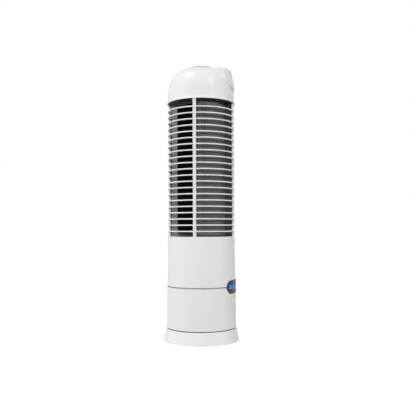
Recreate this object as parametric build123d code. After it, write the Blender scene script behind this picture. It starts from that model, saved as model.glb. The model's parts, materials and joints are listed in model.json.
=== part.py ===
from build123d import *
import math
import os

# Tower air purifier, millimetres. +Z is up and the front is -Y. Heights here are measured from a level just
# above the table; the exported parts are moved up so that their origin is the bottom centre of the base.
# Air is drawn in through the rear half of the ring cage and the filter, and leaves through the front half.

# Driving dimensions
RING_R = 65.0  # outer radius of the grille rings
BASE_R = 73.3  # widest radius, near the bottom of the base
BASE_TOP_R = 68.5
BODY_R_BOTTOM = 67.8
BODY_R_TRIM = 67.0  # body radius at the trim ring
BODY_R_TOP = 65.3
CAP_R = 66.4  # lip of the cap
CAP_WAIST_R = 65.0  # cap radius just above its lip
TABLE_Z = -3.6  # the plane that the feet stand on
BASE_LOW_Z = TABLE_Z + 0.4  # underside of the base
BASE_TOP_Z = 21.2
GASKET_T = 1.5
TRIM_Z = 101.7
TRIM_H = 2.4
DECK_Z = 197.0  # top of the body and bottom of the grille
RIM_Z = 455.7  # top of the grille and bottom of the cap
WAIST_Z = 461.0  # where the cap's lip ends and its dome begins
TOP_Z = 526.8
DOME_POWER = 3.0  # 2 is an ellipse, more is squarer
WALL = 2.4
SPIGOT_R = 64.4  # collar of the lower body that carries the trim ring and the upper body
GAP = 0.3  # clearance round a part that moves

# Ring cage
RING_COUNT = 21
RING_FIRST_Z = 207.1
RING_PITCH = 11.68
RING_H = 2.5
RING_DEPTH = 3.8
RIB_W = 5.7
RIB_R_IN = 62.2
VANE_T = 2.0
VANE_R_IN = 47.0
VANE_R_OUT = 59.3
WEB_T = 0.8  # thin web between a vane and its rib

# Core
CORE_R = 46.5
SKIN_T = 2.2
PLATE_H = 3.0
FAN_R = 24.0
BLADE_ROOT_R = 18.0
FAN_LOW_Z = 203.5
FAN_HIGH_Z = 447.0
SHAFT_END_Z = 205.0
BLADE_COUNT = 24
SHAFT_R = 3.0
PIN_R = 2.5
BUSH_R = 5.0
BUSH_LOW_Z = 448.6
BUSH_HIGH_Z = 454.6
RUN_FIT = 0.04  # radial clearance of a turning shaft
SEAT_FIT = 0.02  # clearance between fixed parts that share a round face
FILTER_Y = 3.2  # front face of the filter cartridge's rails
FILTER_R_IN = 30.0
FRAME_T = 2.4
PLEAT_COUNT = 38
SLOT_COUNT = 49  # air slots across the outlet
SLOT_W = 1.0
SLOT_STEP_DEG = 3.2
SLOT_FIRST_DEG = 270 - SLOT_STEP_DEG * (SLOT_COUNT - 1) / 2

# Motor, hung under the deck
MOTOR_R = 22.0
MOTOR_TOP_Z = 182.2
MOTOR_H = 42.0
MOUNT_R = 30.0  # radius of the four motor screws
POST_BOTTOM_Z = 186.0

# Badge, indicator bars and buttons on the front
BADGE_W = 75.0
BADGE_H = 25.7
BADGE_R = BODY_R_TRIM + 1.0  # outer face of the badge
BADGE_BACK_R = BODY_R_TRIM - 1.4
BAR_COUNT = 6
BAR_STEP_DEG = 10.0
BAR_W = 8.6
BAR_H = 7.5
BUTTON_X = 22.1
BUTTON_Z = 77.0
BUTTON_R = 6.8
BUTTON_TRAVEL = 0.8
BOARD_Y = -49.0  # front face of the control board
SWITCH_H = 4.3

# Screws
SCREW_R = 1.45
HEAD_R = 2.8
HEAD_H = 1.4
BOSS_R = 4.0
BOSS_POS_R = 52.0  # base, body and tray screws
SHELL_SCREW_POS_R = 57.0
CAGE_SCREW_POS_R = 54.0  # grille and cap screws
HOUSING_SCREW_POS_R = 38.0
CAGE_SCREW_DEG = (180, 270, 360)
FOOT_POS_R = 56.0
FOOT_R = 6.5
BOARD_HOLES = [(x, z) for x in (-32, 32) for z in (66, 90)]  # control board, across and up
TRAY_HOLES = [(x, y) for x in (-28, 28) for y in (-10, 46)]  # power board, across and back
TRAY_TOP_Z = 38.5
POWER_BOARD_Z = 44.5

# Cap pod: a raised brow with an upright front and a flat top, in a tilted oval opening
POD_Y = -48.4
POD_Z = 498.5
POD_TILT = 52.2  # slope of the opening's plane from level
POD_HALF_W = 33.4
POD_LOW = 24.5
POD_STRAIGHT = 25.9
POD_HIGH = 13.3
POD_TOP_Z = 521.0
POD_FRONT_R = 66.2
POD_FRONT_Z = 489.0  # where the front begins to lean back
POD_CORNER = (60.7, 519.1)  # radius and height of the edge between front and top
POD_TOP_R = 42.5  # where the top begins to fall towards the front
POD_GROOVE = 0.4
POD_ROUND = 2.0

# Power inlet at the rear
JACK_Z = 51.6
JACK_R = 5.5
JACK_BORE_R = 3.15
JACK_PIN_R = 1.05


def tube(r_out, r_in, z_low, z_high):
    return Pos(0, 0, z_low) * extrude(Circle(r_out) - Circle(r_in), z_high - z_low)


def rod(r, z_low, z_high, x=0.0, y=0.0):
    return Pos(x, y, z_low) * extrude(Circle(r), z_high - z_low)


def rod_y(r, y_low, y_high, x, z):
    """A cylinder along +Y."""
    return Pos(x, y_low, z) * (Rot(-90, 0, 0) * extrude(Circle(r), y_high - y_low))


def block(x_low, x_high, y_low, y_high, z_low, z_high):
    centre = Pos((x_low + x_high) / 2, (y_low + y_high) / 2, (z_low + z_high) / 2)
    return centre * Box(x_high - x_low, y_high - y_low, z_high - z_low)


def turned(*points):
    """A closed outline of (radius, height) points turned about Z."""
    return revolve(Plane.XZ * make_face(Polyline(*points, close=True)), Axis.Z)


def polar(radius, degrees):
    return radius * math.cos(math.radians(degrees)), radius * math.sin(math.radians(degrees))


def around(shape, count, start=0.0):
    return [Rot(0, 0, start + i * 360 / count) * shape for i in range(count)]


def screw(z_head, length, up=True):
    """A pan-head screw on Z: z_head is the head's bearing face, and the shank runs up or down from it."""
    if up:
        return rod(HEAD_R, z_head - HEAD_H, z_head) + rod(SCREW_R, z_head, z_head + length)
    return rod(HEAD_R, z_head, z_head + HEAD_H) + rod(SCREW_R, z_head - length, z_head)


def body_radius(z):
    if z < TRIM_Z:
        share = (z - BASE_TOP_Z) / (TRIM_Z - BASE_TOP_Z)
        return BODY_R_BOTTOM + share * (BODY_R_TRIM - BODY_R_BOTTOM)
    share = (z - TRIM_Z) / (DECK_Z - TRIM_Z)
    return BODY_R_TRIM + share * (BODY_R_TOP - BODY_R_TRIM)


def body_solid(z_low, z_high, offset):
    """The body's tapering round shape between two heights, grown by an offset."""
    heights = [z_low] + [z for z in (TRIM_Z,) if z_low < z < z_high] + [z_high]
    outer = [(body_radius(z) + offset, z) for z in heights]
    return turned((0, z_low), *outer, (0, z_high))


# Base


def rubber_feet():
    foot = rod(FOOT_R, TABLE_Z, BASE_LOW_Z + 0.8, FOOT_POS_R)
    return Compound(around(foot, 4))


def base_plate():
    plate = rod(66.3, BASE_LOW_Z, BASE_LOW_Z + WALL)
    plate -= around(rod(FOOT_R + 0.1, TABLE_Z, BASE_LOW_Z + 0.8, FOOT_POS_R), 4)
    plate -= around(rod(SCREW_R + 0.2, TABLE_Z, 4, BOSS_POS_R), 4, 45)
    plate -= around(rod(HEAD_R + 0.2, TABLE_Z, BASE_LOW_Z + HEAD_H + 0.1, BOSS_POS_R), 4, 45)
    return plate


def base_weight():
    low = BASE_LOW_Z + WALL
    ring = tube(44, 18, low, low + 12)
    return chamfer(ring.edges().filter_by(GeomType.CIRCLE).group_by(Axis.Z)[-1], 1.0)


def base_shell():
    with BuildSketch(Plane.XZ) as outline:
        with BuildLine():
            FilletPolyline(
                (30, BASE_TOP_Z), (BASE_TOP_R, BASE_TOP_Z), (BASE_R + 0.1, BASE_LOW_Z), (66.5, BASE_LOW_Z),
                (66.2, BASE_TOP_Z - WALL), (30, BASE_TOP_Z - WALL), radius=[0.6, 1.2, 0.3, 0.3, 0.3, 0.3],
                close=True,
            )
        make_face()
    shell = revolve(outline.sketch, Axis.Z)
    shell += around(rod(BOSS_R, BASE_LOW_Z + WALL, BASE_TOP_Z - WALL, BOSS_POS_R), 4, 45)
    shell -= around(rod(SCREW_R, TABLE_Z, 14, BOSS_POS_R), 4, 45)
    shell -= around(rod(SCREW_R + 0.2, 10, 30, BOSS_POS_R), 4)
    return shell


def base_screws():
    return Compound(around(Pos(BOSS_POS_R, 0, 0) * screw(BASE_LOW_Z + HEAD_H + 0.1, 11), 4, 45))


def base_gasket():
    return tube(66.6, 60.0, BASE_TOP_Z, BASE_TOP_Z + GASKET_T)


# Body


def badge_outline():
    return SlotOverall(BADGE_W, BADGE_H)


def front_prism(sketch, y_far=-80.0, y_near=-40.0, z=TRIM_Z):
    """A sketch seen from the front, drawn out along Y through the front wall."""
    return extrude(Plane((0, y_far, z), x_dir=(1, 0, 0), z_dir=(0, 1, 0)) * sketch, y_near - y_far)


def badge_recess():
    """The shallow seat for the badge and the window behind it."""
    seat = front_prism(offset(badge_outline(), 0.1)) - rod(BADGE_BACK_R - SEAT_FIT, TRIM_Z - 20, TRIM_Z + 20)
    return seat + front_prism(SlotOverall(BADGE_W - 5, BAR_H + 3))


def bar_positions():
    first = -(BAR_COUNT - 1) / 2
    return [BODY_R_TRIM * math.sin(math.radians((first + i) * BAR_STEP_DEG)) for i in range(BAR_COUNT)]


def badge_bezel():
    badge = front_prism(badge_outline()) & tube(BADGE_R, BADGE_BACK_R, TRIM_Z - 20, TRIM_Z + 20)
    badge = fillet(badge.faces().sort_by(Axis.Y)[0].edges(), 0.7)
    for x in bar_positions():
        badge -= Pos(x, 0, 0) * front_prism(RectangleRounded(BAR_W + 0.1, BAR_H + 0.1, 1.25))
    return badge


def indicator_bars():
    bars = []
    for x in bar_positions():
        bar = Pos(x, 0, 0) * front_prism(RectangleRounded(BAR_W, BAR_H, 1.2), -80, BOARD_Y - 2.0)
        bars.append(bar & rod(BADGE_R - 0.1, TRIM_Z - 20, TRIM_Z + 20))
    return Compound(bars)


def board_posts():
    """Four pillars on the front wall that carry the control board."""
    wall = body_solid(40, 99, -1.0)
    return [rod_y(3.0, -80, BOARD_Y, x, z) & wall for x, z in BOARD_HOLES]


def lower_body():
    low = BASE_TOP_Z + GASKET_T
    high = TRIM_Z - TRIM_H / 2
    shell = turned(
        (body_radius(low) - 0.5, low), (body_radius(low), low + 0.5), (body_radius(high), high - 0.4),
        (body_radius(high) - 0.4, high), (SPIGOT_R, high), (SPIGOT_R, high + 5.5),
        (SPIGOT_R - 2.2, high + 5.5), (SPIGOT_R - 2.2, high - 2.5),
        (body_radius(high) - WALL, high - 6.5), (body_radius(low) - WALL, low),
    )
    boss = rod(BOSS_R, BASE_TOP_Z, 36, BOSS_POS_R) + block(BOSS_POS_R, 66, -1, 1, low, 36)
    shell += around(boss, 4)
    lug = block(52, 63.4, -4.5, 4.5, high + 2.9, high + 5.5)
    shell += around(lug, 4, 45)
    shell += board_posts()
    shell -= around(rod(SCREW_R, 20, 37, BOSS_POS_R), 4)
    shell -= around(rod(SCREW_R + 0.2, 100, 110, SHELL_SCREW_POS_R), 4, 45)
    shell -= badge_recess()
    for x in (-BUTTON_X, 0, BUTTON_X):
        shell -= rod_y(BUTTON_R + GAP, -80, -45, x, BUTTON_Z)
    shell -= rod_y(JACK_R + 0.1, 50, 80, 0, JACK_Z)
    shell -= [rod_y(1.0, BOARD_Y - 6, BOARD_Y + 1, x, z) for x, z in BOARD_HOLES]
    return shell


def body_screws():
    return Compound(around(Pos(BOSS_POS_R, 0, 0) * screw(BASE_TOP_Z - WALL, 10), 4))


def trim_ring():
    low = TRIM_Z - TRIM_H / 2
    ring = tube(BODY_R_TRIM - 0.35, SPIGOT_R + 0.1, low, low + TRIM_H)
    return ring - badge_recess()


def upper_body():
    low = TRIM_Z + TRIM_H / 2
    shell = turned(
        (body_radius(low) - 0.4, low), (body_radius(low), low + 0.4), (BODY_R_TOP, DECK_Z - 0.8),
        (BODY_R_TOP - 0.8, DECK_Z), (6, DECK_Z), (6, DECK_Z - 2.5), (BODY_R_TOP - WALL, DECK_Z - 2.5),
        (body_radius(low) - WALL, low),
    )
    shell += around(rod(3.5, POST_BOTTOM_Z, DECK_Z - 2.5, MOUNT_R), 4, 45)
    boss = rod(BOSS_R, 106.4, 126, SHELL_SCREW_POS_R) + block(SHELL_SCREW_POS_R, 65, -1, 1, 108, 126)
    shell += [part & body_solid(103, DECK_Z, -1.0) for part in around(boss, 4, 45)]
    shell -= around(rod(SCREW_R, POST_BOTTOM_Z - 1, DECK_Z - 3, MOUNT_R), 4, 45)
    shell -= around(rod(SCREW_R, 105, 120, SHELL_SCREW_POS_R), 4, 45)
    shell -= around(rod(SCREW_R + 0.1, 190, 200, HOUSING_SCREW_POS_R), 4)
    shell -= around(rod(SCREW_R + 0.1, 190, 200, CAGE_SCREW_POS_R), 4)
    shell -= badge_recess()
    return shell


def shell_screws():
    return Compound(around(Pos(SHELL_SCREW_POS_R, 0, 0) * screw(TRIM_Z - TRIM_H / 2 + 2.9, 14), 4, 45))


# Buttons and electronics


def button(x):
    """A dished push button that slides along Y in a hole of the front wall."""
    skin = body_solid(60, 95, 0.0)
    wall_y = -math.sqrt(body_radius(BUTTON_Z) ** 2 - x**2)
    flange_x = abs(x) + BUTTON_R + 1.1
    flange_y = -math.sqrt((body_radius(BUTTON_Z) - WALL) ** 2 - flange_x**2) + GAP
    cap = rod_y(BUTTON_R, -80, flange_y + 1.2, x, BUTTON_Z) & skin
    cap += rod_y(BUTTON_R + 1.1, flange_y, flange_y + 1.2, x, BUTTON_Z)
    cap += rod_y(2.0, flange_y, BOARD_Y - SWITCH_H - BUTTON_TRAVEL - 0.05, x, BUTTON_Z)
    lean = math.degrees(math.asin(x / body_radius(BUTTON_Z)))
    dish = Sphere(22)
    reach = 22 - 1.1
    dish_x = x + reach * math.sin(math.radians(lean))
    dish_y = wall_y - reach * math.cos(math.radians(lean))
    return cap - Pos(dish_x, dish_y, BUTTON_Z) * dish


def control_board():
    board = block(-36, 36, BOARD_Y, BOARD_Y + 1.6, 62, 113)
    return board - [rod_y(1.2, BOARD_Y - 1, BOARD_Y + 3, x, z) for x, z in BOARD_HOLES]


def board_screws():
    screws = []
    for x, z in BOARD_HOLES:
        head = rod_y(2.2, BOARD_Y + 1.6, BOARD_Y + 2.9, x, z)
        screws.append(head + rod_y(1.0, BOARD_Y - 5, BOARD_Y + 1.6, x, z))
    return Compound(screws)


def tact_switches():
    switches = []
    for x in (-BUTTON_X, 0, BUTTON_X):
        case = block(x - 3, x + 3, BOARD_Y - 3.5, BOARD_Y, BUTTON_Z - 3, BUTTON_Z + 3)
        switches.append(case + rod_y(1.75, BOARD_Y - SWITCH_H, BOARD_Y - 3.5, x, BUTTON_Z))
    return Compound(switches)


def indicator_leds():
    return Compound([block(x - 1.4, x + 1.4, BOARD_Y - 1.1, BOARD_Y, TRIM_Z - 1.4, TRIM_Z + 1.4)
                     for x in bar_positions()])


def electronics_tray():
    tray = rod(61, TRAY_TOP_Z - 2.5, TRAY_TOP_Z)
    tray += [rod(3.0, TRAY_TOP_Z, POWER_BOARD_Z, x, y) for x, y in TRAY_HOLES]
    tray -= around(rod(SCREW_R + 0.2, 30, TRAY_TOP_Z + 1, BOSS_POS_R), 4)
    tray -= [rod(1.2, TRAY_TOP_Z + 1, POWER_BOARD_Z + 1, x, y) for x, y in TRAY_HOLES]
    return tray


def tray_screws():
    return Compound(around(Pos(BOSS_POS_R, 0, 0) * screw(TRAY_TOP_Z, 7, up=False), 4))


def power_board():
    board = block(-32, 32, -14, 50, POWER_BOARD_Z, POWER_BOARD_Z + 1.6)
    return board - [rod(1.3, POWER_BOARD_Z - 1, POWER_BOARD_Z + 3, x, y) for x, y in TRAY_HOLES]


def power_components():
    low = POWER_BOARD_Z + 1.6
    parts = [rod(5.0, low, 62, x, 26) for x in (-22, -10)]
    parts.append(fillet(block(8, 24, 18, 34, low, 56).edges().filter_by(Axis.Z), 1.5))
    sink = block(-26, 26, -2, 0, low, 66)
    sink += [block(x, x + 1.2, 0, 7, low, 66) for x in range(-24, 26, 6)]
    parts.append(sink)
    parts.append(block(-8, 8, -12, -6, low, 54))
    return Compound(parts)


def dc_jack():
    low = POWER_BOARD_Z + 1.6
    jack = block(-5, 5, 42, 57, low, low + 11) + rod_y(JACK_R, 57, 67.9, 0, JACK_Z)
    jack -= rod_y(JACK_BORE_R, 58, 70, 0, JACK_Z)
    jack -= rod_y(JACK_PIN_R, 50, 60, 0, JACK_Z)
    return chamfer(jack.faces().sort_by(Axis.Y)[-1].edges(), 0.4)


def dc_jack_pin():
    return rod_y(JACK_PIN_R, 50, 66.5, 0, JACK_Z)


# Motor and impeller


def motor_can():
    low = MOTOR_TOP_Z - MOTOR_H
    can = tube(MOTOR_R, MOTOR_R - 1.2, low + 2, MOTOR_TOP_Z - 1.5)
    can += rod(MOTOR_R, MOTOR_TOP_Z - 1.5, MOTOR_TOP_Z)
    can += rod(6.0, MOTOR_TOP_Z, MOTOR_TOP_Z + 4.5)
    can += rod(7.5, MOTOR_TOP_Z - 8, MOTOR_TOP_Z - 1.5)
    can -= rod(5.0, MOTOR_TOP_Z - 9, MOTOR_TOP_Z - 1.5)
    can -= rod(SHAFT_R + 0.5, MOTOR_TOP_Z - 3, MOTOR_TOP_Z + 6)
    return can


def motor_end_bell():
    low = MOTOR_TOP_Z - MOTOR_H
    bell = rod(MOTOR_R, low, low + 2) + rod(MOTOR_R - 1.25, low + 2, low + 4)
    bell += tube(7.5, 5.0, low + 2, low + 10)
    bell -= rod(5.0, low + 2, low + 11)
    bell -= rod(SHAFT_R + 0.5, low - 1, low + 3)
    return bell


def motor_stator():
    core = tube(20.5, 12.6, MOTOR_TOP_Z - 34, MOTOR_TOP_Z - 10)
    core -= around(block(12, 17.5, -1.2, 1.2, MOTOR_TOP_Z - 35, MOTOR_TOP_Z - 9), 12)
    return core


def motor_rotor():
    return tube(12.1, SHAFT_R + SEAT_FIT, MOTOR_TOP_Z - 31, MOTOR_TOP_Z - 12)


def motor_bearings():
    low = MOTOR_TOP_Z - MOTOR_H
    race = tube(4.98, SHAFT_R + RUN_FIT, 0, 5)
    return Compound([Pos(0, 0, low + 4) * race, Pos(0, 0, MOTOR_TOP_Z - 7.5) * race])


def motor_shaft():
    return rod(SHAFT_R, MOTOR_TOP_Z - MOTOR_H + 1, SHAFT_END_Z)


def motor_plate():
    plate = extrude(Pos(0, 0, MOTOR_TOP_Z) * RectangleRounded(56, 56, 8), 1.6)
    plate -= rod(6.1, 180, 190)
    plate -= around(rod(3.2, 180, 190, MOUNT_R), 4, 45)
    return plate


def motor_grommets():
    flange = rod(5.5, 179.8, MOTOR_TOP_Z) + rod(5.5, MOTOR_TOP_Z + 1.6, POST_BOTTOM_Z)
    grommet = flange + rod(3.15, MOTOR_TOP_Z, MOTOR_TOP_Z + 1.6)
    grommet -= rod(SCREW_R + 0.05, 170, 190)
    return Compound(around(Pos(MOUNT_R, 0, 0) * grommet, 4, 45))


def motor_screws():
    return Compound(around(Pos(MOUNT_R, 0, 0) * screw(179.8, 13), 4, 45))


def blade_outline():
    """One forward-curved blade between its root and the rim."""
    inner = polar(BLADE_ROOT_R, 0)
    outer = polar(FAN_R, 10)
    middle = polar((BLADE_ROOT_R + FAN_R) / 2, 1.5)
    back = polar((BLADE_ROOT_R + FAN_R) / 2 + 0.2, 4.2)
    front_arc = ThreePointArc(inner, middle, outer)
    rim = Line(outer, polar(FAN_R, 12))
    back_arc = ThreePointArc(polar(FAN_R, 12), back, polar(BLADE_ROOT_R, 2.5))
    return make_face([front_arc, rim, back_arc, Line(polar(BLADE_ROOT_R, 2.5), inner)])


def impeller():
    low = FAN_LOW_Z
    high = FAN_HIGH_Z
    wheel = rod(FAN_R, low, low + 2) + rod(7.5, low - 5.5, low)
    wheel += rod(FAN_R, high - 2, high) + rod(6, high - 8, high)
    blades = Sketch() + around(blade_outline(), BLADE_COUNT)
    wheel += extrude(Pos(0, 0, low + 1) * blades, high - low - 2)
    for share in (0.25, 0.5, 0.75):
        z = low + share * (high - low)
        wheel += tube(FAN_R, BLADE_ROOT_R - 0.5, z - 1, z + 1)
    wheel -= rod(SHAFT_R + SEAT_FIT, 190, SHAFT_END_Z)
    wheel -= rod(PIN_R + SEAT_FIT, high - 7, high + 1)
    return wheel


def impeller_pin():
    return rod(PIN_R, FAN_HIGH_Z - 7, BUSH_HIGH_Z - 0.4)


def top_bearing():
    return tube(BUSH_R, PIN_R + RUN_FIT, BUSH_LOW_Z, BUSH_HIGH_Z)


def bearing_mount():
    return tube(8.45, BUSH_R, BUSH_LOW_Z, BUSH_HIGH_Z)


# Core: fan housing, outlet, filter cartridge


def spiral_wall(start, end, r_start, r_end, thickness):
    """A wall whose radius grows evenly with its angle, as a flat outline."""
    steps = 8
    inner = []
    outer = []
    for i in range(steps + 1):
        share = i / steps
        degrees = start + share * (end - start)
        radius = r_start + share * (r_end - r_start)
        inner.append(polar(radius, degrees))
        outer.append(polar(radius + thickness, degrees))
    return make_face([Spline(*inner), Spline(*outer), Line(inner[0], outer[0]), Line(inner[-1], outer[-1])])


def fan_housing():
    low = DECK_Z + PLATE_H
    high = RIM_Z - 0.2 - PLATE_H
    housing = tube(CORE_R, 9.0, DECK_Z, low) + rod(CORE_R, high, high + PLATE_H)
    housing += rod(11.0, high - 4.7, high)
    outline = Sketch() + spiral_wall(176, 238, 26.2, 42.3, 1.8) + spiral_wall(336, 364, 26.2, 26.2, 1.8)
    outline += Pos(-36.4, 1.1) * Rectangle(20.0, 2.4)
    outline += Pos(36.4, 1.1) * Rectangle(19.0, 2.4)
    walls = extrude(Pos(0, 0, low - 0.5) * outline, high - low + 1.0)
    housing += walls & rod(CORE_R, DECK_Z, RIM_Z)
    housing -= rod(8.5, 448.5, 460)
    housing -= rod(6.5, 440, 450)
    housing -= around(rod(SCREW_R, 190, 199.5, HOUSING_SCREW_POS_R), 4)
    return housing


def outlet_diffuser():
    low = DECK_Z + PLATE_H
    high = RIM_Z - 0.2 - PLATE_H
    skin = tube(CORE_R, CORE_R - SKIN_T, low, high) & block(-60, 60, -60, -0.15, low, high)
    bands = 4
    band_h = (high - low - 4) / bands
    slots = []
    for i in range(bands):
        z = low + 4 + i * band_h
        slot = block(40, 50, -SLOT_W / 2, SLOT_W / 2, z, z + band_h - 4)
        slots += [Rot(0, 0, SLOT_FIRST_DEG + j * SLOT_STEP_DEG) * slot for j in range(SLOT_COUNT)]
    return skin - slots


def half_ring(r_out, r_in, z_low, z_high, y_low):
    return tube(r_out, r_in, z_low, z_high) & block(-60, 60, y_low, 60, z_low, z_high)


def filter_heights():
    low = DECK_Z + PLATE_H + 0.6
    high = RIM_Z - 0.2 - PLATE_H - 0.6
    return low, high


def filter_frame():
    low, high = filter_heights()
    inner = FILTER_R_IN - 1
    frame = half_ring(CORE_R, inner, low, low + FRAME_T, FILTER_Y)
    frame += half_ring(CORE_R, inner, high - FRAME_T, high, FILTER_Y)
    for side in (-1, 1):
        x_in = side * (inner + 0.3)
        x_out = side * 48
        rail = block(min(x_in, x_out), max(x_in, x_out), FILTER_Y, FILTER_Y + FRAME_T, low, high)
        frame += rail & tube(CORE_R, inner, low, high)
    grip = block(-9, 9, 40, CORE_R + 1, high - FRAME_T - 16, high - FRAME_T)
    frame += grip & half_ring(CORE_R, CORE_R - SKIN_T, low, high, FILTER_Y)
    return frame


def carbon_prefilter():
    low, high = filter_heights()
    sheet = half_ring(CORE_R, CORE_R - SKIN_T, low + FRAME_T, high - FRAME_T, FILTER_Y + FRAME_T)
    return sheet - block(-9, 9, 40, CORE_R + 1, high - FRAME_T - 16, high)


def hepa_filter():
    low, high = filter_heights()
    start = 11.5  # clear of the frame's side rails
    step = (180 - 2 * start) / (2 * PLEAT_COUNT)
    outer = []
    inner = []
    for i in range(2 * PLEAT_COUNT + 1):
        tip = i % 2
        outer.append(polar(43.8 if tip else 35.2, start + i * step))
        inner.append(polar(39.2 if tip else 30.6, start + i * step))
    pleats = make_face(Polyline(*outer, *reversed(inner), close=True))
    return extrude(Pos(0, 0, low + FRAME_T) * pleats, high - low - 2 * FRAME_T)


# Ring cage


def ring_arc(half):
    """Half of one grille ring, with rounded edges: half is -1 for the front and 1 for the rear."""
    profile = Plane.XZ * Pos(RING_R - RING_DEPTH / 2, 0) * RectangleRounded(RING_DEPTH, RING_H, 0.9)
    return Rot(0, 0, 90 - 90 * half) * revolve(profile, Axis.Z, 180)


def cage_rings(half):
    arc = ring_arc(half)
    return [Pos(0, 0, RING_FIRST_Z + i * RING_PITCH) * arc for i in range(RING_COUNT)]


def cage_rib(low, high):
    """The middle rib of a half cage on +Y, with the vane behind it."""
    rib = block(-RIB_W / 2, RIB_W / 2, RIB_R_IN, 70, low, high) & rod(RING_R, low, high)
    rib += block(-WEB_T / 2, WEB_T / 2, VANE_R_OUT - 1, RIB_R_IN + 1, low, high)
    return rib + block(-VANE_T / 2, VANE_T / 2, VANE_R_IN, VANE_R_OUT, low, high)


def side_block(side, r_low, r_high, y_low, y_high, z_low, z_high):
    """A block on the -X or +X side of the cage, between two distances from its axis."""
    x_low, x_high = sorted((side * r_low, side * r_high))
    return block(x_low, x_high, y_low, y_high, z_low, z_high)


def front_grille():
    low = DECK_Z
    high = RIM_Z - 0.2
    cage = Rot(0, 0, 180) * cage_rib(low, high)
    split = 0.7
    for side in (-1, 1):
        cage += side_block(side, RIB_R_IN, 70, -RIB_W / 2, split, low, high) & rod(RING_R, low, high)
        cage += side_block(side, VANE_R_OUT - 1, RIB_R_IN + 1, -WEB_T, 0, low, high)
        cage += side_block(side, VANE_R_IN, VANE_R_OUT, split - VANE_T, split, low, high)
    cage += [ring & block(-70, 70, -70, split, low, high) for ring in cage_rings(-1)]
    pads = [rod(2.8, low, low + 8, CAGE_SCREW_POS_R), rod(2.8, high - 8, high, CAGE_SCREW_POS_R)]
    holes = [rod(SCREW_R, z, z + 8, CAGE_SCREW_POS_R) for z in (low - 1, high - 7)]
    cage += [Rot(0, 0, angle) * pad for angle in CAGE_SCREW_DEG for pad in pads]
    return cage - [Rot(0, 0, angle) * hole for angle in CAGE_SCREW_DEG for hole in holes]


def rear_grille():
    low = DECK_Z + GAP
    high = RIM_Z - GAP
    split = 0.7 + GAP
    cage = cage_rib(low, high)
    for side in (-1, 1):
        cage += side_block(side, RIB_R_IN, 70, split, RIB_W / 2, low, high) & rod(RING_R, low, high)
    cage += [ring & block(-70, 70, split, 70, low, high) for ring in cage_rings(1)]
    return cage


def grille_screws():
    lower = Pos(CAGE_SCREW_POS_R, 0, 0) * screw(DECK_Z - 2.5, 9)
    upper = Pos(CAGE_SCREW_POS_R, 0, 0) * screw(RIM_Z + WALL, 9, up=False)
    return Compound([Rot(0, 0, angle) * part for angle in CAGE_SCREW_DEG for part in (lower, upper)])


def housing_screws():
    return Compound(around(Pos(HOUSING_SCREW_POS_R, 0, 0) * screw(DECK_Z - 2.5, 5), 4))


# Cap


def dome_solid(inset):
    """The cap's outer shape shrunk by an inset: a flared lip under a superellipse."""
    steps = 14
    low = RIM_Z - 1
    lip = (CAP_R - inset, RIM_Z + 1.2)
    waist_r = CAP_WAIST_R - inset
    rise = TOP_Z - inset - WAIST_Z
    arc = [lip, (waist_r + 0.35, WAIST_Z - 2.0)]
    for i in range(steps + 1):
        out, up = polar(1.0, 90 * i / steps)
        reach = (out**DOME_POWER + up**DOME_POWER) ** (-1 / DOME_POWER)
        arc.append((waist_r * reach * out, WAIST_Z + rise * reach * up))
    arc[-1] = (0, TOP_Z - inset)
    with BuildSketch(Plane.XZ) as outline:
        with BuildLine():
            Line((0, low), (lip[0], low))
            Line((lip[0], low), lip)
            Spline(*arc, tangents=[(0, 1), (-1, 0)])
            Line((0, TOP_Z - inset), (0, low))
        make_face()
    return revolve(outline.sketch, Axis.Z)


def pod_prism(grow):
    """The tilted oval column that the pod fills, drawn out from inside the cap."""
    half_w = POD_HALF_W + grow
    slope = math.radians(POD_TILT)
    plane = Plane((0, POD_Y, POD_Z), x_dir=(1, 0, 0), z_dir=(0, -math.sin(slope), math.cos(slope)))
    low_end = EllipticalCenterArc((0, 0), half_w, POD_LOW + grow, 180, arc_size=180)
    high_end = EllipticalCenterArc((0, POD_STRAIGHT), half_w, POD_HIGH + grow, 0, arc_size=180)
    right = Line((half_w, 0), (half_w, POD_STRAIGHT))
    left = Line((-half_w, POD_STRAIGHT), (-half_w, 0))
    outline = make_face([low_end, right, high_end, left])
    return extrude(plane.offset(-14) * outline, 60)


def pod_envelope(inset):
    """The pod's outer surface: an upright front that leans back, an edge, a shoulder and a flat top."""
    corner_r, corner_z = POD_CORNER
    front = POD_FRONT_R - inset
    top = POD_TOP_Z - inset
    with BuildSketch(Plane.XZ) as outline:
        with BuildLine():
            FilletPolyline(
                (0, 440), (front, 440), (front, POD_FRONT_Z), (corner_r - inset, corner_z - inset),
                (POD_TOP_R, top), (0, top), radius=[0.1, 15, 1.5, 16],
            )
            Line((0, top), (0, 440))
        make_face()
    return revolve(outline.sketch, Axis.Z)


def cap_bosses():
    low = RIM_Z + WALL
    boss = rod(BOSS_R, low, 480, CAGE_SCREW_POS_R) + block(CAGE_SCREW_POS_R, 65, -1, 1, low + 0.3, 478)
    return [part & dome_solid(1.0) for part in around(boss, 4, 45)]


def top_cap():
    cap = (dome_solid(0) - dome_solid(WALL)) & rod(80, RIM_Z, 540)
    cap = fillet(cap.edges().group_by(Axis.Z)[0].sort_by(SortBy.LENGTH)[-1], 0.6)
    cap -= pod_prism(POD_GROOVE)
    cap += cap_bosses()
    cap -= around(rod(SCREW_R, RIM_Z, 474, CAGE_SCREW_POS_R), 4, 45)
    return cap


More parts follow.
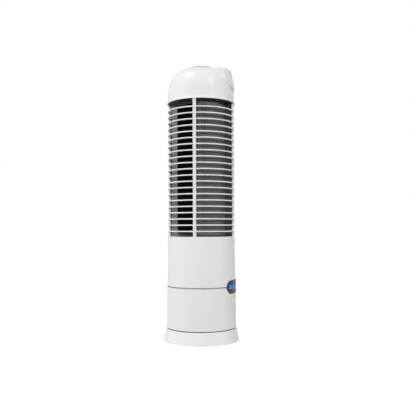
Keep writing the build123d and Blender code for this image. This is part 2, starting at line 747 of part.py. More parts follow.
def pod_rim(pod):
    """The edges where the pod's upright sides meet its outer skin."""
    slope = math.radians(POD_TILT)
    outward = Vector(0, -math.sin(slope), math.cos(slope))
    faces = pod.faces()
    sides = [f for f in faces if abs(f.normal_at().dot(outward)) < 0.02]
    floor = faces.filter_by(Plane.XY.rotated((POD_TILT, 0, 0)))
    skin = [f for f in faces if f not in sides and f not in floor]
    side_edges = [edge for face in sides for edge in face.edges()]
    skin_edges = [edge for face in skin for edge in face.edges()]
    return [edge for edge in side_edges if edge in skin_edges]


def pod_cover():
    pod = pod_envelope(0) & pod_prism(0)
    pod = fillet(pod_rim(pod), POD_ROUND)
    pod -= dome_solid(WALL + 3.0)
    pod -= pod_envelope(WALL) & pod_prism(-WALL)
    return pod


def cap_deck():
    deck = tube(CAP_WAIST_R - WALL - 0.2, 4.0, RIM_Z, RIM_Z + WALL)
    deck -= around(rod(SCREW_R + 0.1, 450, 460, CAGE_SCREW_POS_R), 8)
    deck -= around(rod(HEAD_R + 0.1, 450, RIM_Z + HEAD_H, CAGE_SCREW_POS_R), 4, 45)
    return deck


def cap_screws():
    return Compound(around(Pos(CAGE_SCREW_POS_R, 0, 0) * screw(RIM_Z + HEAD_H, 12), 4, 45))


PARTS = {
    "rubber_feet": rubber_feet,
    "base_plate": base_plate,
    "base_weight": base_weight,
    "base_shell": base_shell,
    "base_screws": base_screws,
    "base_gasket": base_gasket,
    "lower_body": lower_body,
    "body_screws": body_screws,
    "trim_ring": trim_ring,
    "upper_body": upper_body,
    "shell_screws": shell_screws,
    "badge_bezel": badge_bezel,
    "indicator_bars": indicator_bars,
    "button_left": lambda: button(-BUTTON_X),
    "button_centre": lambda: button(0.0),
    "button_right": lambda: button(BUTTON_X),
    "control_board": control_board,
    "board_screws": board_screws,
    "tact_switches": tact_switches,
    "indicator_leds": indicator_leds,
    "electronics_tray": electronics_tray,
    "tray_screws": tray_screws,
    "power_board": power_board,
    "power_components": power_components,
    "dc_jack": dc_jack,
    "dc_jack_pin": dc_jack_pin,
    "motor_can": motor_can,
    "motor_end_bell": motor_end_bell,
    "motor_stator": motor_stator,
    "motor_rotor": motor_rotor,
    "motor_bearings": motor_bearings,
    "motor_shaft": motor_shaft,
    "motor_plate": motor_plate,
    "motor_grommets": motor_grommets,
    "motor_screws": motor_screws,
    "impeller": impeller,
    "impeller_pin": impeller_pin,
    "top_bearing": top_bearing,
    "bearing_mount": bearing_mount,
    "fan_housing": fan_housing,
    "housing_screws": housing_screws,
    "outlet_diffuser": outlet_diffuser,
    "filter_frame": filter_frame,
    "carbon_prefilter": carbon_prefilter,
    "hepa_filter": hepa_filter,
    "front_grille": front_grille,
    "rear_grille": rear_grille,
    "grille_screws": grille_screws,
    "cap_deck": cap_deck,
    "cap_screws": cap_screws,
    "top_cap": top_cap,
    "pod_cover": pod_cover,
}

os.makedirs("parts", exist_ok=True)
for node, make in PARTS.items():
    export_step(Pos(0, 0, -TABLE_Z) * make(), f"parts/{node}.step")
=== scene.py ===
"""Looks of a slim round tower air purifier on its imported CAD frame. Metres, +Z up, front towards -Y."""

import json
import math

import bmesh
import bpy
from bpy.props import FloatProperty, FloatVectorProperty, IntProperty, PointerProperty
from mathutils import Matrix, Vector


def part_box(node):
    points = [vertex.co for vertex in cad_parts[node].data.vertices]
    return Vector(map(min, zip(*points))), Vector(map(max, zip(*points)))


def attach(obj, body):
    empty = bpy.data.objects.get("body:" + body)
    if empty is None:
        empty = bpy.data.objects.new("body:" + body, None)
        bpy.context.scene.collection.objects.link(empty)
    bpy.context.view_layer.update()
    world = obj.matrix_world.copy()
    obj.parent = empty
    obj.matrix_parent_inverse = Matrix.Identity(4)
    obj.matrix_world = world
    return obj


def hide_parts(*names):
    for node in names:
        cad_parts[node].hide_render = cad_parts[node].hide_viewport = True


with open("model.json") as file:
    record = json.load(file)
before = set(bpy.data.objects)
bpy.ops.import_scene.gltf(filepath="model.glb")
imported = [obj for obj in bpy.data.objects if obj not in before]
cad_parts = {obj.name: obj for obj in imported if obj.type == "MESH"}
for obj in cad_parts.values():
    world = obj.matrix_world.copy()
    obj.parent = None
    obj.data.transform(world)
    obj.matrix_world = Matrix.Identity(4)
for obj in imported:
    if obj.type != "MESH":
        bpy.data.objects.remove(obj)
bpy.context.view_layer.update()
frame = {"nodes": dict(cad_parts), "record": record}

bl_info = {
    "name": "Tower Air Purifier",
    "version": (1, 0, 0),
    "blender": (4, 5, 0),
    "location": "View3D > Sidebar > Purifier",
    "description": "Builds the shells, ring cage, filter, cap and studio of a tower air purifier",
    "category": "Add Mesh",
}

NODES = frame["nodes"]
MM = 0.001
GRAIN_SCALE = 2600.0
GRAIN_DEPTH = 0.04 * MM


# Shader maths


class Wire:
    """A shader socket that takes part in Python expressions."""

    def __init__(self, tree, socket):
        self.tree = tree
        self.socket = socket

    def node(self, kind, settings=None, values=None, output=0):
        """Add a node: its settings first, a ramp's stops among them, then its socket values or links."""
        made = self.tree.nodes.new(kind)
        for name, value in (settings or {}).items():
            if name == "stops":
                set_stops(made.color_ramp, value)
            else:
                setattr(made, name, value)
        for name, value in (values or {}).items():
            if isinstance(value, Wire):
                self.tree.links.new(value.socket, made.inputs[name])
            else:
                made.inputs[name].default_value = value
        return Wire(self.tree, made.outputs[output])

    def math(self, operation, first, second):
        return self.node("ShaderNodeMath", {"operation": operation}, {0: first, 1: second})

    def __add__(self, other):
        return self.math("ADD", self, other)

    def __radd__(self, other):
        return self.math("ADD", other, self)

    def __sub__(self, other):
        return self.math("SUBTRACT", self, other)

    def __rsub__(self, other):
        return self.math("SUBTRACT", other, self)

    def __mul__(self, other):
        return self.math("MULTIPLY", self, other)

    def __rmul__(self, other):
        return self.math("MULTIPLY", other, self)

    def __truediv__(self, other):
        return self.math("DIVIDE", self, other)

    def above(self, edge, softness):
        """0 below an edge, 1 above it, with a soft step."""
        values = {"Value": self, "From Min": edge - softness, "From Max": edge + softness}
        return self.node("ShaderNodeMapRange", {"interpolation_type": "SMOOTHSTEP"}, values)


def set_stops(ramp, stops):
    while len(ramp.elements) > len(stops):
        ramp.elements.remove(ramp.elements[-1])
    while len(ramp.elements) < len(stops):
        ramp.elements.new(1.0)
    for element, (position, colour) in zip(ramp.elements, stops):
        element.position = position
        element.color = (*colour, 1.0)


class Finish:
    """A material on one Principled shader, and the wires that start its patterns."""

    def __init__(self, name, **constants):
        self.material = bpy.data.materials.new(name)
        self.material.use_nodes = True
        self.tree = self.material.node_tree
        self.shader = self.tree.nodes["Principled BSDF"]
        for socket, value in constants.items():
            self.shader.inputs[socket.replace("_", " ")].default_value = value
        place = self.tree.nodes.new("ShaderNodeTexCoord")
        self.place = Wire(self.tree, place.outputs["Object"])

    def scaled(self, x, y, z):
        """Object coordinates stretched along each axis."""
        return self.place.node("ShaderNodeMapping", None, {"Vector": self.place, "Scale": (x, y, z)})

    def noise(self, scale, detail=2.0, roughness=0.5, place=None):
        values = {"Vector": place or self.place, "Scale": scale, "Detail": detail, "Roughness": roughness}
        return self.place.node("ShaderNodeTexNoise", None, values)

    def axis(self, index, place=None):
        return self.place.node("ShaderNodeSeparateXYZ", None, {0: place or self.place}, index)

    def mix(self, share, first, second):
        """Blend two colours."""
        return self.place.node("ShaderNodeMix", {"data_type": "RGBA"}, {0: share, 6: first, 7: second}, 2)

    def feed(self, socket, wire):
        self.tree.links.new(wire.socket, self.shader.inputs[socket])

    def bump(self, height, strength, distance):
        values = {"Height": height, "Strength": strength, "Distance": distance}
        self.feed("Normal", self.place.node("ShaderNodeBump", None, values))


def tint(colour, factor):
    return (colour[0] * factor, colour[1] * factor, colour[2] * factor, 1.0)


def moulded_plastic(name, colour, gloss, coat=0.0, grain=0.15):
    """Injection-moulded plastic: faint flow shading, a fine spark-eroded grain and uneven gloss."""
    finish = Finish(name, Coat_Weight=coat, Coat_Roughness=0.06)
    flow = finish.noise(9.0, 3.0)
    finish.feed("Base Color", finish.mix(flow, tint(colour, 0.975), tint(colour, 1.02)))
    smear = finish.noise(55.0, 4.0)
    finish.feed("Roughness", gloss - 0.04 + smear * 0.08)
    finish.bump(finish.noise(GRAIN_SCALE, 2.0), grain, GRAIN_DEPTH)
    return finish.material


class PurifierMaterials:
    """Every finish of the object, made once and shared."""

    made = {}

    @classmethod
    def get(cls, name):
        if name not in cls.made:
            cls.made[name] = FINISHES[name]()
        return cls.made[name]


def white_shell():
    return moulded_plastic("white_shell", tuple(settings().shell_colour), 0.3, 0.25)


def white_grille():
    """White rings and ribs; behind them the vanes are painted grey as painted shade, and the thin webs, the
    ribs' inner faces and the front vane are painted black as painted shadow.
    """
    colours = settings()
    finish = Finish("white_grille", Coat_Weight=0.1, Coat_Roughness=0.08)
    across = finish.axis(0)
    along = finish.axis(1)
    radius = finish.place.node("ShaderNodeMath", {"operation": "SQRT"}, {0: across * across + along * along})
    flow = finish.noise(9.0, 3.0)
    white = finish.mix(flow, tint(colours.shell_colour, 0.975), tint(colours.shell_colour, 1.02))
    grey = finish.mix(flow, tint(colours.vane_shade_colour, 0.94), tint(colours.vane_shade_colour, 1.06))
    black = finish.mix(flow, tint(colours.web_shadow_colour, 0.9), tint(colours.web_shadow_colour, 1.1))
    # painted shade: the front vane gets the black painted shadow, the other vanes the grey painted shade
    vane = finish.mix(along.above(-30 * MM, 1 * MM), black, grey)
    # painted shadow in black between the vane edge and the ring edge, on the webs and the ribs' inner faces
    inside = finish.mix(radius.above(colours.vane_edge, 0.1 * MM), vane, black)
    finish.feed("Base Color", finish.mix(radius.above(colours.ring_edge, 0.1 * MM), inside, white))
    finish.feed("Roughness", 0.34 + finish.noise(55.0, 4.0) * 0.08)
    finish.bump(finish.noise(GRAIN_SCALE, 2.0), 0.15, GRAIN_DEPTH)
    return finish.material


def grey_trim():
    return moulded_plastic("grey_trim", (0.30, 0.305, 0.31), 0.45)


def black_plastic():
    return moulded_plastic("black_plastic", (0.018, 0.018, 0.02), 0.5, 0.0, 0.3)


def fan_plastic():
    return moulded_plastic("fan_plastic", (0.03, 0.03, 0.033), 0.42, 0.0, 0.25)


def diffuser_grey():
    return moulded_plastic("diffuser_grey", (0.14, 0.142, 0.147), 0.5, 0.0, 0.3)


def badge_black():
    """Piano-black plastic under a clear coat with faint wiping marks."""
    finish = Finish("badge_black", Coat_Weight=0.2, Coat_Roughness=0.05, Specular_IOR_Level=0.3)
    depth = finish.noise(30.0, 3.0)
    finish.feed("Base Color", finish.mix(depth, (0.022, 0.025, 0.03, 1), (0.04, 0.045, 0.052, 1)))
    wipe = finish.noise(60.0, 5.0, 0.6, finish.scaled(1, 1, 7))
    finish.feed("Roughness", 0.08 + wipe * 0.14)
    return finish.material


def indicator_blue():
    """Glowing blue light guide with a faint grain."""
    finish = Finish("indicator_blue", Roughness=0.2, Emission_Strength=0.35)
    grain = finish.noise(420.0, 2.0)
    finish.feed("Base Color", finish.mix(grain, (0.01, 0.1, 0.62, 1), (0.02, 0.16, 0.8, 1)))
    finish.feed("Emission Color", finish.mix(grain, (0.0, 0.1, 0.7, 1), (0.01, 0.2, 1.0, 1)))
    return finish.material


def rubber():
    finish = Finish("rubber")
    dust = finish.noise(70.0, 5.0, 0.65)
    finish.feed("Base Color", finish.mix(dust, (0.012, 0.012, 0.012, 1), (0.035, 0.035, 0.034, 1)))
    finish.feed("Roughness", 0.72 + dust * 0.18)
    finish.bump(finish.noise(900.0, 3.0), 0.4, 0.00008)
    return finish.material


def metal(name, colour, gloss, stretch=(1, 1, 1), scale=300.0, bump=0.15):
    """Worked metal: brushed or cast along one direction."""
    finish = Finish(name, Metallic=1.0)
    grain = finish.noise(scale, 4.0, 0.6, finish.scaled(*stretch))
    finish.feed("Base Color", finish.mix(grain, tint(colour, 0.8), tint(colour, 1.08)))
    finish.feed("Roughness", gloss + grain * 0.18)
    finish.bump(grain, bump, 0.00005)
    return finish.material


def cast_iron():
    return metal("cast_iron", (0.12, 0.12, 0.125), 0.55, scale=220.0, bump=0.7)


def screw_steel():
    return metal("screw_steel", (0.55, 0.56, 0.57), 0.25, scale=500.0)


def motor_steel():
    return metal("motor_steel", (0.5, 0.51, 0.53), 0.3, (1, 1, 6))


def motor_iron():
    """Stacked laminations, seen as fine level lines."""
    return metal("motor_iron", (0.3, 0.28, 0.26), 0.4, (0.1, 0.1, 8), 250.0, 0.6)


def shaft_steel():
    return metal("shaft_steel", (0.7, 0.7, 0.71), 0.12, (1, 1, 12))


def bronze_bush():
    return metal("bronze_bush", (0.5, 0.3, 0.13), 0.35, scale=700.0, bump=0.4)


def brass_contact():
    return metal("brass_contact", (0.75, 0.52, 0.2), 0.15, scale=600.0)


def circuit_board():
    """Green solder mask over copper tracks laid on a fine grid."""
    finish = Finish("circuit_board", Coat_Weight=0.3)
    values = {"Vector": finish.place, "Scale": 260.0, "Randomness": 0.35}
    cells = finish.place.node("ShaderNodeTexVoronoi", {"feature": "DISTANCE_TO_EDGE"}, values)
    track = cells.above(0.06, 0.015)
    finish.feed("Base Color", finish.mix(track, (0.03, 0.2, 0.07, 1), (0.008, 0.07, 0.03, 1)))
    finish.feed("Roughness", 0.35 + track * 0.1)
    finish.bump(1 - track, 0.3, 0.00006)
    return finish.material


def components():
    finish = Finish("components")
    patch = finish.noise(25.0, 1.0)
    grey = patch.above(0.5, 0.02)
    finish.feed("Base Color", finish.mix(grey, (0.02, 0.02, 0.025, 1), (0.1, 0.11, 0.13, 1)))
    finish.feed("Roughness", 0.35 + patch * 0.2)
    return finish.material


def led_white():
    finish = Finish("led_white", Roughness=0.2, Transmission_Weight=0.2)
    finish.feed("Base Color", finish.mix(finish.noise(500.0), (0.8, 0.8, 0.68, 1), (0.95, 0.95, 0.9, 1)))
    return finish.material


def carbon_foam():
    """Black activated-carbon foam: open cells that catch a little light on their rims."""
    finish = Finish("carbon_foam", Specular_IOR_Level=0.12)
    values = {"Vector": finish.place, "Scale": 520.0, "Randomness": 0.8}
    cells = finish.place.node("ShaderNodeTexVoronoi", {"feature": "DISTANCE_TO_EDGE"}, values)
    pore = cells.above(0.09, 0.05)
    finish.feed("Base Color", finish.mix(pore, (0.012, 0.012, 0.0125, 1), (0.002, 0.002, 0.002, 1)))
    finish.feed("Roughness", 0.6 + pore * 0.3)
    finish.bump(1 - pore, 0.9, 0.0006)
    return finish.material


def filter_paper():
    """Pleated glass-fibre paper with short fibres."""
    finish = Finish("filter_paper")
    fibre = finish.noise(900.0, 4.0, 0.7, finish.scaled(1, 1, 0.35))
    finish.feed("Base Color", finish.mix(fibre, (0.72, 0.72, 0.68, 1), (0.86, 0.86, 0.83, 1)))
    finish.feed("Roughness", 0.85 + fibre * 0.1)
    finish.bump(fibre, 0.5, 0.0002)
    return finish.material


FINISHES = {
    "white_shell": white_shell,
    "white_grille": white_grille,
    "rubber": rubber,
    "cast_iron": cast_iron,
    "screw_steel": screw_steel,
    "grey_trim": grey_trim,
    "badge_black": badge_black,
    "indicator_blue": indicator_blue,
    "circuit_board": circuit_board,
    "black_plastic": black_plastic,
    "led_white": led_white,
    "components": components,
    "brass_contact": brass_contact,
    "motor_steel": motor_steel,
    "motor_iron": motor_iron,
    "shaft_steel": shaft_steel,
    "bronze_bush": bronze_bush,
    "fan_plastic": fan_plastic,
    "diffuser_grey": diffuser_grey,
    "carbon_foam": carbon_foam,
    "filter_paper": filter_paper,
}


# Settings


class PurifierSettings(bpy.types.PropertyGroup):
    """Colours and sizes of the object."""

    shell_colour: FloatVectorProperty(
        name="Shell colour", description="White of the moulded shells", subtype="COLOR",
        default=(0.8, 0.8, 0.795), min=0.0, max=1.0)
    # painted shade: this grey stands for the vanes in shade behind the rings
    vane_shade_colour: FloatVectorProperty(
        name="Vane colour", description="Grey of the vanes behind the rings", subtype="COLOR",
        default=(0.24, 0.24, 0.242), min=0.0, max=1.0)
    # painted shadow: this black stands for the shadow on the webs between ribs and vanes
    web_shadow_colour: FloatVectorProperty(
        name="Web colour", description="Black of the webs between ribs and vanes", subtype="COLOR",
        default=(0.02, 0.02, 0.021), min=0.0, max=1.0)
    vane_edge: FloatProperty(
        name="Vane edge", description="Outer radius of the vanes", default=0.0594, subtype="DISTANCE")
    ring_edge: FloatProperty(
        name="Ring edge", description="Inner radius of the rings", default=0.0611, subtype="DISTANCE")
    cell_columns: IntProperty(
        name="Prefilter columns", description="Open cells round the carbon prefilter", default=52, min=4)
    cell_rows: IntProperty(
        name="Prefilter rows", description="Open cells up the carbon prefilter", default=88, min=4)
    pleats: IntProperty(
        name="Pleats", description="Folds in the filter paper", default=58, min=4)
    paper_thickness: FloatProperty(
        name="Paper thickness", description="Of the pleated filter paper", default=0.0006, subtype="DISTANCE")
    screw_head: FloatProperty(
        name="Screw head", description="Radius of a base screw's head", default=0.0028, subtype="DISTANCE")
    foot_radius: FloatProperty(
        name="Foot radius", description="Of a rubber foot", default=0.0065, subtype="DISTANCE")


class StudioSettings(bpy.types.PropertyGroup):
    """Camera and lights."""

    distance: FloatProperty(
        name="Camera distance", description="From the tower's axis, level", default=1.133, subtype="DISTANCE")
    height: FloatProperty(
        name="Camera height", description="Above the floor", default=0.2188, subtype="DISTANCE")
    azimuth: FloatProperty(
        name="Camera azimuth", description="From the front, towards the tower's left when negative",
        default=math.radians(-78.74), subtype="ANGLE")
    yaw: FloatProperty(
        name="Camera yaw", description="How far the camera looks right of the axis",
        default=math.radians(0.6715), subtype="ANGLE")
    pitch: FloatProperty(
        name="Camera pitch", description="How far the camera looks up", default=math.radians(1.89),
        subtype="ANGLE")
    roll: FloatProperty(
        name="Camera roll", description="Turn of the camera about its own line of sight",
        default=math.radians(0.207), subtype="ANGLE")
    light_above: FloatProperty(
        name="Light above", description="Strength of the room's white above the horizon", default=0.42,
        min=0.0)
    light_below: FloatProperty(
        name="Light below", description="Strength of the room's white below the horizon", default=0.12,
        min=0.0)
    light_gloss: FloatProperty(
        name="Light in gloss", description="Strength of the room's white as gloss shows it", default=0.75,
        min=0.0)
    lamp_height: FloatProperty(
        name="Lamp height", description="The height that the panel lamps face", default=0.26,
        subtype="DISTANCE")


def settings():
    return bpy.context.scene.purifier


# Mesh helpers


def add_piece(name, bm, body, slot, *nodes, sharp=math.radians(35)):
    """Turn a bmesh into a piece that rides on a body, takes a slot's finish and stands for CAD nodes."""
    bmesh.ops.recalc_face_normals(bm, faces=bm.faces)
    if bm.calc_volume(signed=True) < 0:
        bmesh.ops.reverse_faces(bm, faces=bm.faces)
    mesh = bpy.data.meshes.new(name)
    bm.to_mesh(mesh)
    bm.free()
    mesh.materials.append(PurifierMaterials.get(slot))
    mesh.shade_smooth()
    mesh.set_sharp_from_angle(angle=sharp)
    piece = bpy.data.objects.new(name, mesh)
    bpy.context.scene.collection.objects.link(piece)
    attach(piece, body)
    if nodes:
        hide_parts(*nodes)
    return piece


def turn_outline(bm, outline, steps, place=Matrix(), start=0.0, sweep=math.tau):
    """Turn a closed outline of (radius, height) points about Z; a part turn is closed at both ends."""
    known = set(bm.verts)
    corners = [bm.verts.new((radius, 0, height)) for radius, height in outline]
    pairs = zip(corners, [*corners[1:], corners[0]])
    edges = [bm.edges.new(pair) for pair in pairs if pair[0].co.x > 0 or pair[1].co.x > 0]
    bmesh.ops.rotate(bm, verts=corners, matrix=Matrix.Rotation(start, 3, "Z"))
    full = math.isclose(sweep, math.tau)
    if not full:
        bm.faces.new(corners)
    spun = bmesh.ops.spin(
        bm, geom=edges, axis=(0, 0, 1), cent=(0, 0, 0), angle=sweep, steps=steps, use_merge=full)
    if not full:
        ends = [item for item in spun["geom_last"] if isinstance(item, bmesh.types.BMEdge)]
        bmesh.ops.edgeloop_fill(bm, edges=ends)
    made = [vert for vert in bm.verts if vert not in known]
    bmesh.ops.remove_doubles(bm, verts=made, dist=1e-7)
    made = [vert for vert in bm.verts if vert not in known]
    bmesh.ops.transform(bm, matrix=place, verts=made)


def rounded(radius_in, radius_out, low, high, corner, turns=4):
    """A rectangle with round corners, as (radius, height) points."""
    points = []
    middles = (
        (radius_out - corner, low + corner, -90), (radius_out - corner, high - corner, 0),
        (radius_in + corner, high - corner, 90), (radius_in + corner, low + corner, 180))
    for across, up, start in middles:
        for i in range(turns + 1):
            angle = math.radians(start + 90 * i / turns)
            points.append((across + corner * math.cos(angle), up + corner * math.sin(angle)))
    return points


# Pieces


class PURIFIER_OT_finishes(bpy.types.Operator):
    """Give each CAD part its finish"""

    bl_idname = "purifier.finishes"
    bl_label = "CAD finishes"

    def execute(self, context):
        for part in frame["record"]["subparts"]:
            node = NODES[part["node"]]
            material = PurifierMaterials.get(part["material_slot"])
            for slot in node.material_slots:
                slot.material = material
        return {"FINISHED"}


class PURIFIER_OT_gasket(bpy.types.Operator):
    """Make the soft bead between the base and the body"""

    bl_idname = "purifier.gasket"
    bl_label = "Base gasket"

    def execute(self, context):
        low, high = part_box("base_gasket")
        width = 6 * MM
        corner = 0.45 * (high[2] - low[2])
        bm = bmesh.new()
        turn_outline(bm, rounded(high[0] - width, high[0], low[2], high[2], corner), 160)
        add_piece("gasket_bead", bm, "housing", "rubber", "base_gasket")
        return {"FINISHED"}


class PURIFIER_OT_feet(bpy.types.Operator):
    """Make the four ribbed rubber feet"""

    bl_idname = "purifier.feet"
    bl_label = "Rubber feet"

    def execute(self, context):
        radius = settings().foot_radius
        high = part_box("rubber_feet")[1]
        top = high[2]
        groove = 0.3 * MM
        outline = [(0, top), (radius, top), (radius, groove), (radius - groove, 0)]
        for share in (0.78, 0.52, 0.26):
            outer = radius * share
            outline += [(outer, 0), (outer - groove, groove)]
            outline += [(outer - 2 * groove, groove), (outer - 3 * groove, 0)]
        outline.append((0, 0))
        bm = bmesh.new()
        for turn in range(4):
            place = Matrix.Rotation(turn * math.pi / 2, 4, "Z") @ Matrix.Translation((high[0] - radius, 0, 0))
            turn_outline(bm, outline, 40, place)
        add_piece("ribbed_feet", bm, "housing", "rubber", "rubber_feet")
        return {"FINISHED"}


class PURIFIER_OT_base_screws(bpy.types.Operator):
    """Make the four domed base screws with their six-lobe sockets"""

    bl_idname = "purifier.base_screws"
    bl_label = "Base screws"

    def execute(self, context):
        head = settings().screw_head
        low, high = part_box("base_screws")
        shank = head * 0.52
        seat = low[2] + head * 0.5
        bm = bmesh.new()
        for turn in range(4):
            corner = Matrix.Rotation(turn * math.pi / 2, 4, "Z") @ Matrix.Translation(
                (high[0] - head, high[1] - head, 0))
            outline = [(0, seat), (shank, seat), (shank, high[2] - shank), (0, high[2])]
            turn_outline(bm, outline, 24, corner)
            self.domed_head(bm, head, low[2], seat, corner)
        add_piece("base_screw_heads", bm, "housing", "screw_steel", "base_screws")
        return {"FINISHED"}

    def domed_head(self, bm, head, low, seat, place):
        """A low dome that opens downwards into a six-lobe socket."""
        tall = seat - low
        lobe = 0.78
        made = bmesh.ops.create_circle(bm, cap_ends=True, segments=24, radius=head)["verts"]
        bmesh.ops.translate(bm, verts=made, vec=(0, 0, seat))
        face = made[0].link_faces[0]
        for share, height in ((1.0, seat - 0.35 * tall), (0.86, low + 0.1 * tall), (0.66, low)):
            face = self.step(bm, face, share, height, head)
        socket = self.step(bm, face, 0.5, low, head)
        for index, vert in enumerate(socket.verts):
            if index % 4 < 2:
                vert.co.x *= lobe
                vert.co.y *= lobe
        self.step(bm, socket, None, low + 0.55 * tall, head)
        group = self.island(made[0])
        rim = {edge for vert in group for edge in vert.link_edges if len(edge.link_faces) == 1}
        bmesh.ops.holes_fill(bm, edges=list(rim))
        bmesh.ops.transform(bm, matrix=place, verts=group)

    def step(self, bm, face, share, height, head):
        """Extrude a face to a height and set its corners at a share of the head's radius."""
        new = bmesh.ops.extrude_discrete_faces(bm, faces=[face])["faces"][0]
        for vert in new.verts:
            if share is not None:
                flat = Vector((vert.co.x, vert.co.y)).normalized() * head * share
                vert.co.x, vert.co.y = flat
            vert.co.z = height
        return new

    def island(self, seed):
        """Every corner joined to one."""
        found = {seed}
        edge = [seed]
        while edge:
            near = [link.other_vert(vert) for vert in edge for link in vert.link_edges]
            edge = [vert for vert in set(near) if vert not in found]
            found.update(edge)
        return list(found)


class PURIFIER_OT_prefilter(bpy.types.Operator):
    """Make the carbon prefilter: a half-round foam sheet pressed into open cells"""

    bl_idname = "purifier.prefilter"
    bl_label = "Carbon prefilter"

    def execute(self, context):
        low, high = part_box("carbon_prefilter")
        radius = high[1]
        thick = 2.2 * MM
        wall = 0.42 * MM
        sunk = 1.1 * MM
        edge = math.asin(low[1] / radius)
        sweep = math.pi - 2 * edge
        tall = high[2] - low[2]
        cells = settings()
        bm = bmesh.new()
        bmesh.ops.create_grid(bm, x_segments=cells.cell_columns, y_segments=cells.cell_rows, size=0.5)
        bmesh.ops.scale(bm, vec=(sweep, tall, 1), verts=bm.verts)
        back = list(bm.faces)
        raised = bmesh.ops.extrude_face_region(bm, geom=back, use_keep_orig=True)["geom"]
        front = [item for item in raised if isinstance(item, bmesh.types.BMFace)]
        skin = list({vert for face in front for vert in face.verts})
        bmesh.ops.translate(bm, verts=skin, vec=(0, 0, thick))
        for vert in bm.verts:
            angle = math.pi / 2 - vert.co.x
            reach = radius - thick + vert.co.z
            height = (low[2] + high[2]) / 2 + vert.co.y
            vert.co = (reach * math.cos(angle), reach * math.sin(angle), height)
        bmesh.ops.recalc_face_normals(bm, faces=bm.faces)
        bmesh.ops.inset_individual(bm, faces=front, thickness=wall, depth=-sunk, use_even_offset=True)
        add_piece("prefilter_cells", bm, "filter_cartridge", "carbon_foam", "carbon_prefilter")
        return {"FINISHED"}


class PURIFIER_OT_pleats(bpy.types.Operator):
    """Fold the filter paper into pleats and lay the glue beads that hold them apart"""

    bl_idname = "purifier.pleats"
    bl_label = "Filter pleats"

    def execute(self, context):
        low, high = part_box("hepa_filter")
        radius_out = high[1]
        depth = 8.6 * MM
        fold = 0.45 * MM
        radius_in = radius_out - depth
        edge = math.asin(low[1] / radius_out)
        folds = 2 * settings().pleats
        bm = bmesh.new()
        corners = []
        for i in range(folds + 1):
            angle = edge + (math.pi - 2 * edge) * i / folds
            reach = radius_out if i % 2 else radius_in
            corners.append(bm.verts.new((reach * math.cos(angle), reach * math.sin(angle), low[2])))
        run = [bm.edges.new(pair) for pair in zip(corners, corners[1:])]
        raised = bmesh.ops.extrude_edge_only(bm, edges=run)["geom"]
        top = [item for item in raised if isinstance(item, bmesh.types.BMVert)]
        bmesh.ops.translate(bm, verts=top, vec=(0, 0, high[2] - low[2]))
        folded = [link for link in bm.edges if len(link.link_faces) == 2]
        bmesh.ops.bevel(
            bm, geom=folded, offset=fold, affect="EDGES", segments=2, profile=0.5, material=-1)
        bmesh.ops.recalc_face_normals(bm, faces=bm.faces)
        bmesh.ops.solidify(bm, geom=bm.faces, thickness=settings().paper_thickness)
        add_piece("pleated_paper", bm, "filter_cartridge", "filter_paper", "hepa_filter")
        beads = bmesh.new()
        bead = 0.9 * MM
        corner = 0.4 * bead
        clear = 0.02  # radians left free at each end
        for share in (0.1, 0.3, 0.5, 0.7, 0.9):
            middle = low[2] + share * (high[2] - low[2])
            outline = rounded(radius_in - corner, radius_in + bead, middle - bead, middle + bead, corner, 3)
            turn_outline(beads, outline, 72, start=edge + clear, sweep=math.pi - 2 * edge - 2 * clear)
        add_piece("glue_beads", beads, "filter_cartridge", "white_shell")
        return {"FINISHED"}


# Studio

# Name, azimuth and elevation in degrees, distance, width, height, strength in watts, whether gloss shows it
LAMPS = (
    ("key_softbox", -143.0, 58.0, 2.2, 0.45, 0.45, 9.0, True),
    ("side_strip", -39.0, 35.0, 2.2, 0.25, 0.8, 4.0, True),
    ("left_panel", -168.0, 8.0, 2.5, 1.2, 0.6, 25.0, False),
    ("front_panel", -95.0, 8.0, 2.5, 1.2, 0.6, 30.0, False),
    ("right_panel", -12.0, 8.0, 2.5, 1.2, 0.6, 20.0, False),
)


class PURIFIER_OT_studio(bpy.types.Operator):
    """Add the pale floor, the lights and the camera"""

    bl_idname = "purifier.studio"
    bl_label = "Studio"

    def execute(self, context):
        scene = context.scene
        studio = scene.purifier_studio
        floor_radius = 6.0
        bm = bmesh.new()
        bmesh.ops.create_circle(bm, cap_ends=True, segments=96, radius=floor_radius)
        mesh = bpy.data.meshes.new("floor")
        bm.to_mesh(mesh)
        bm.free()
        floor = bpy.data.objects.new("floor", mesh)
        scene.collection.objects.link(floor)
        floor.data.materials.append(floor_finish())
        floor.visible_diffuse = False
        floor.visible_glossy = False
        scene.world = room(studio)
        scene.view_settings.view_transform = "Standard"
        for lamp in LAMPS:
            add_lamp(*lamp)
        data = bpy.data.cameras.new("camera")
        data.lens = 50.0
        data.sensor_width = 36.0
        camera = bpy.data.objects.new("camera", data)
        scene.collection.objects.link(camera)
        camera.matrix_world = camera_place(studio)
        scene.camera = camera
        return {"FINISHED"}


def floor_finish():
    """A white sweep that is lit from behind, so that it shows no edge."""
    finish = Finish("floor", Roughness=0.9, Emission_Strength=1.0)
    finish.shader.inputs["Emission Color"].default_value = (1, 1, 1, 1)
    speckle = finish.noise(3.0)
    finish.feed("Base Color", finish.mix(speckle, (0.9, 0.9, 0.9, 1), (0.92, 0.92, 0.92, 1)))
    return finish.material


def room(studio):
    """White all round for the camera and, a little less, for gloss; dimmer for light, most so from below."""
    world = bpy.data.worlds.new("studio")
    world.use_nodes = True
    tree = world.node_tree
    background = tree.nodes["Background"]
    place = Wire(tree, tree.nodes.new("ShaderNodeTexCoord").outputs["Generated"])
    up = place.node("ShaderNodeSeparateXYZ", None, {0: place}, 2)
    light = studio.light_below + up.above(0.0, 0.1) * (studio.light_above - studio.light_below)
    seen = place.node("ShaderNodeLightPath")
    shine = place.node("ShaderNodeLightPath", output=3)
    strength = light * (1 - seen - shine) + seen + shine * studio.light_gloss
    tree.links.new(strength.socket, background.inputs["Strength"])
    background.inputs["Color"].default_value = (1, 1, 1, 1)
    return world


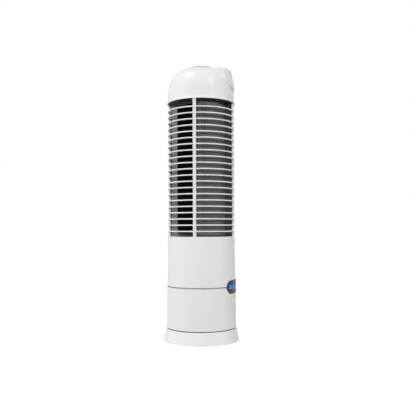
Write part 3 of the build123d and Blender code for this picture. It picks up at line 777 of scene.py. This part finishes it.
def add_lamp(name, azimuth, elevation, distance, width, height, power, glossy):
    """A rectangular lamp; one that gloss shows faces the cap's rim, and the rest face the middle."""
    data = bpy.data.lights.new(name, "AREA")
    data.shape = "RECTANGLE"
    data.size = width
    data.size_y = height
    data.energy = power
    lamp = bpy.data.objects.new(name, data)
    turn = math.radians(azimuth)
    rise = math.radians(elevation)
    way = Vector((math.sin(turn) * math.cos(rise), -math.cos(turn) * math.cos(rise), math.sin(rise)))
    middle = bpy.context.scene.purifier_studio.lamp_height
    target = Vector((0, 0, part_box("top_cap")[0][2] if glossy else middle))
    facing = way.to_track_quat("Z", "Y").to_matrix().to_4x4()
    lamp.matrix_world = Matrix.Translation(target + way * distance) @ facing
    lamp.visible_glossy = glossy
    bpy.context.scene.collection.objects.link(lamp)


def camera_place(studio):
    side = Vector((math.sin(studio.azimuth), -math.cos(studio.azimuth), 0))
    spot = side * studio.distance + Vector((0, 0, studio.height))
    tilt = Matrix.Rotation(math.pi / 2 + studio.pitch, 4, "X")
    look = Matrix.Rotation(studio.azimuth - studio.yaw, 4, "Z") @ tilt
    return Matrix.Translation(spot) @ look @ Matrix.Rotation(-studio.roll, 4, "Z")


class PURIFIER_PT_panel(bpy.types.Panel):
    """The builder's steps, in order"""

    bl_label = "Tower Air Purifier"
    bl_idname = "PURIFIER_PT_panel"
    bl_space_type = "VIEW_3D"
    bl_region_type = "UI"
    bl_category = "Purifier"

    def draw(self, context):
        for step in STEPS:
            self.layout.operator(step.bl_idname)


STEPS = (
    PURIFIER_OT_finishes,
    PURIFIER_OT_gasket,
    PURIFIER_OT_feet,
    PURIFIER_OT_base_screws,
    PURIFIER_OT_prefilter,
    PURIFIER_OT_pleats,
    PURIFIER_OT_studio,
)
GROUPS = {"purifier": PurifierSettings, "purifier_studio": StudioSettings}


def register():
    for group in GROUPS.values():
        bpy.utils.register_class(group)
    for name, group in GROUPS.items():
        setattr(bpy.types.Scene, name, PointerProperty(type=group))
    for step in (*STEPS, PURIFIER_PT_panel):
        bpy.utils.register_class(step)


def unregister():
    for step in (PURIFIER_PT_panel, *reversed(STEPS)):
        bpy.utils.unregister_class(step)
    for name in GROUPS:
        delattr(bpy.types.Scene, name)
    for group in reversed(GROUPS.values()):
        bpy.utils.unregister_class(group)


def main():
    register()
    for step in STEPS:
        category, name = step.bl_idname.split(".")
        getattr(getattr(bpy.ops, category), name)()


if __name__ == "__main__":
    main()
